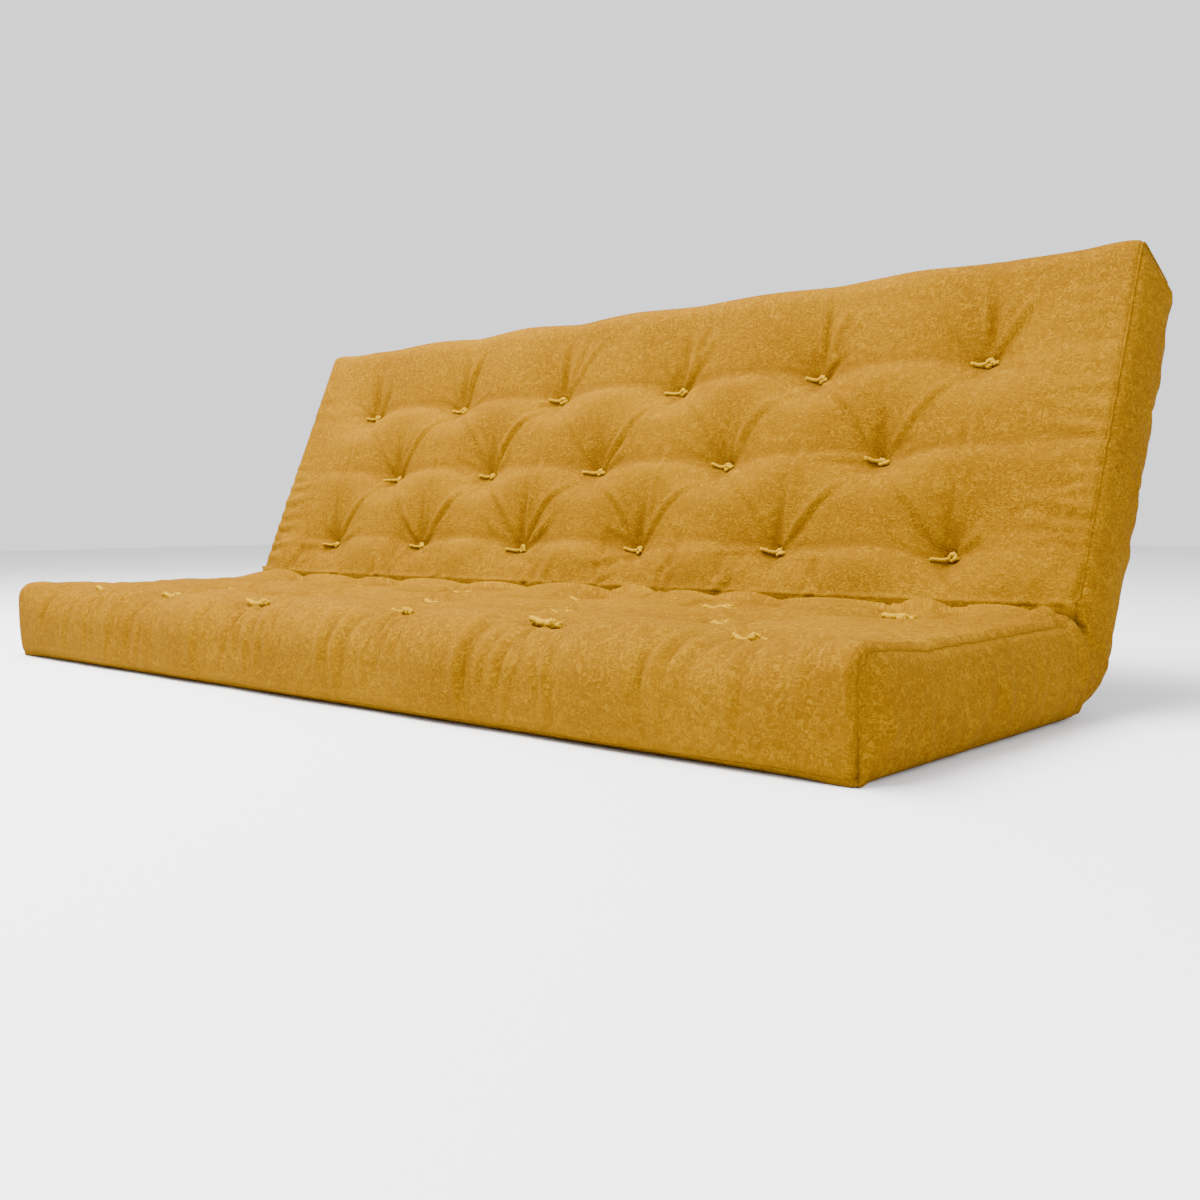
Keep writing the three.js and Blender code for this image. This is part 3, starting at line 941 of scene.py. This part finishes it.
# --- Ties --------------------------------------------------------------------------------------
# Each tie is soft two-ply cotton twine, drawn through the whole filling with a long needle and knotted
# on both faces. The back's knots have one cut tail. The seat's have worn to fluffy tufts.
ply_radius, lay_radius, lay_pitch = 0.0016, 0.0014, 0.009
under_ply, under_lay, under_pitch, through_pitch = 0.0011, 0.001, 0.007, 0.02
twine_colour = (0.27, 0.145, 0.001, 1)
twine_pale = (0.38, 0.22, 0.0006, 1)
twine_deep = (0.28, 0.125, 0.001, 1)
twine_sheen = (1, 0.7, 0.1, 1)

twine = bpy.data.materials.new("cotton_twine")
twine.use_nodes = True
twine_shader = twine.node_tree.nodes["Principled BSDF"]
start = Dye(twine_shader.outputs[0])
place = start.node("ShaderNodeTexCoord", {}, {}, "Object")
fibre = place.noise(900, 3, 0.5)
uneven = place.noise(160, 2, 0, shift=2.2)
strand = fibre.eased(0.3, 0.7).between(twine_colour, twine_pale)
(uneven.eased(0.35, 0.7) * 0.35).between(strand, twine_deep).feeds(twine_shader.inputs["Base Color"])
(0.82 + 0.12 * fibre).feeds(twine_shader.inputs["Roughness"])
fibre_bump = start.node("ShaderNodeBump", {}, {"Strength": 0.5, "Distance": 0.0004, "Height": fibre})
fibre_bump.feeds(twine_shader.inputs["Normal"])
twine_shader.inputs["Sheen Weight"].default_value = 0.03
twine_shader.inputs["Sheen Tint"].default_value = twine_sheen
twine_shader.inputs["Specular IOR Level"].default_value = 0.03


def on_cloth(rows, along, x, a):
    """The place on the finished cloth at a distance along the piece and from the crease."""
    which = np.flatnonzero(rows)
    order = np.argsort(along[which])
    k = np.interp(a, along[which][order], which[order])
    j = np.clip((x - x_line[0]) / (x_line[1] - x_line[0]), 0, length_steps - 1e-6)
    k0, j0 = int(k), int(j)
    k1 = min(k0 + 1, loop_count - 1)
    past_k, past_j = k - k0, j - j0
    near = grid[k0, j0] * (1 - past_j) + grid[k0, j0 + 1] * past_j
    far = grid[k1, j0] * (1 - past_j) + grid[k1, j0 + 1] * past_j
    return near * (1 - past_k) + far * past_k


def rounded_path(points, step=0.0011):
    """A smooth line through the given points."""
    p = np.asarray(points, float)
    p = np.concatenate([[2 * p[0] - p[1]], p, [2 * p[-1] - p[-2]]])
    line = []
    for a, b, c, d in zip(p, p[1:], p[2:], p[3:]):
        for t in np.linspace(0, 1, 8, endpoint=False):
            line.append(0.5 * (2 * b + (c - a) * t + (2 * a - 5 * b + 4 * c - d) * t ** 2
                               + (3 * b - a - 3 * c + d) * t ** 3))
    line.append(p[-2])
    return resampled(line, step)


def laid_line(points, cloth, place, lift, size=1, lean=0):
    """A smooth line through points in millimetres round a tie's place, lifted off the cloth."""
    rows, along, out = cloth
    laid = []
    for u, v, w in points:
        du = (u * math.cos(lean) - v * math.sin(lean)) * size / 1000
        dv = (u * math.sin(lean) + v * math.cos(lean)) * size / 1000
        laid.append(on_cloth(rows, along, place[0] + du, place[1] + dv) + out * (w * size / 1000 + lift))
    return rounded_path(laid)


def plied(path, ply, lay, pitch, sides=6):
    """Two plies laid round each other along a path."""
    swell_depth, swell_turns = 0.12, 2100
    far = distance_along(path)
    side_way, up_way = square_to(path, (0.21, 0.37, 0.9))
    parts = []
    for phase in (0, math.pi):
        turn = (2 * math.pi * far / pitch + phase)[:, None]
        line = path + lay * (np.cos(turn) * side_way + np.sin(turn) * up_way)
        swell = 1 + swell_depth * np.sin(far * swell_turns + phase)
        parts.append(tube(line, ply * swell, sides))
    return parts


def fluffed(path, count, reach, spread):
    """Loose fibres standing off a strand."""
    fibre_radii = (0.00035, 0.0003, 0.00012)
    parts = []
    for _ in range(count):
        i = chance.randrange(1, len(path) - 1)
        root = path[i]
        way = np.array([chance.gauss(0, 1), chance.gauss(0, 1), chance.gauss(0, 1)])
        way /= np.linalg.norm(way)
        ahead = (path[i] - path[i - 1]) / np.linalg.norm(path[i] - path[i - 1])
        way = way * spread + ahead * chance.choice((-1, 1)) * chance.uniform(0.2, 0.9)
        long = reach * chance.uniform(0.5, 1.2)
        curl = np.array([chance.gauss(0, 0.3), chance.gauss(0, 0.3), chance.gauss(0, 0.3)])
        line = [root, root + way * long * 0.5, root + (way + curl) * long]
        parts.append(tube(line, fibre_radii, 3))
    return parts


upwards, backwards = np.array([0, 0, 1.0]), np.array([0, *rearward])
face_of = {"seat": (on_seat_face, along_face, upwards), "back": (on_back_face, along_face, -backwards)}
under_of = {"seat": (on_seat_under, along_under, -upwards), "back": (on_back_rear, along_under, backwards)}
# Points of the knot in millimetres: along the length, up the cloth and out of it.
knot_turns = [(0, 0, -6), (1, 0, 1), (5, 3, 3), (1, 5, 5), (-5, 2, 4), (-3, -4, 3), (3, -4, 5), (6, 1, 7),
              (1, 3, 8), (-4, 0, 6)]
under_turns = [(0, 0, -6), (2, 0, 0), (4, 3, 2), (-1, 5, 3), (-5, 0, 2.5), (-1, -4, 2), (5, -3, 3),
               (9, -1, 2.5), (14, 0, 2.2)]
knot_lift = {"seat": 0.004, "back": 0.0015}
knot_thickness = {"seat": 1.6, "back": 1.1}
under_lift = 0.0005
for section in ("seat", "back"):
    face, under = face_of[section], under_of[section]
    lift, thick = knot_lift[section], knot_thickness[section]
    for name, px, pa in ties[section]:
        lean = chance.gauss(0, 0.22)
        size = chance.uniform(0.9, 1.15)
        tail = [(-9, -1, 4), (-15, -2, 3.2), (-21, -1.5, 3), (-27 + chance.uniform(-4, 5), -2, 3.4)]
        if section == "seat":
            tail = [(-10, 0, 4), (-18, 1, 3), (-26, -1, 3), (-33 + chance.uniform(-6, 4), 0, 3.2)]
        line = laid_line(knot_turns + tail, face, (px, pa), lift, size, lean)
        parts = plied(line, ply_radius * thick, lay_radius * thick, lay_pitch)
        tip = [(6, -2, 5), (10, -2, 4), (14 + chance.uniform(-2, 5), -1, 3.5)]
        short = laid_line(tip, face, (px, pa), lift)
        parts += plied(short, ply_radius * thick, lay_radius * thick, lay_pitch)
        if section == "seat":
            parts += fluffed(line, count=150, reach=0.008, spread=0.9)
            parts += fluffed(short, count=44, reach=0.007, spread=0.9)
        else:
            parts += fluffed(line[-6:], count=12, reach=0.004, spread=0.35)
            parts += fluffed(line, count=16, reach=0.0025, spread=0.8)
        under_line = laid_line(under_turns, under, (px, pa), under_lift)
        parts += plied(under_line, under_ply, under_lay, under_pitch)
        through = np.linspace(line[0], under_line[0], 9)
        parts += plied(through, under_ply, under_lay, through_pitch, 5)
        knot = made_piece(name + "_twine", parts, twine)
        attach(knot, section + "_section")
        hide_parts(name)
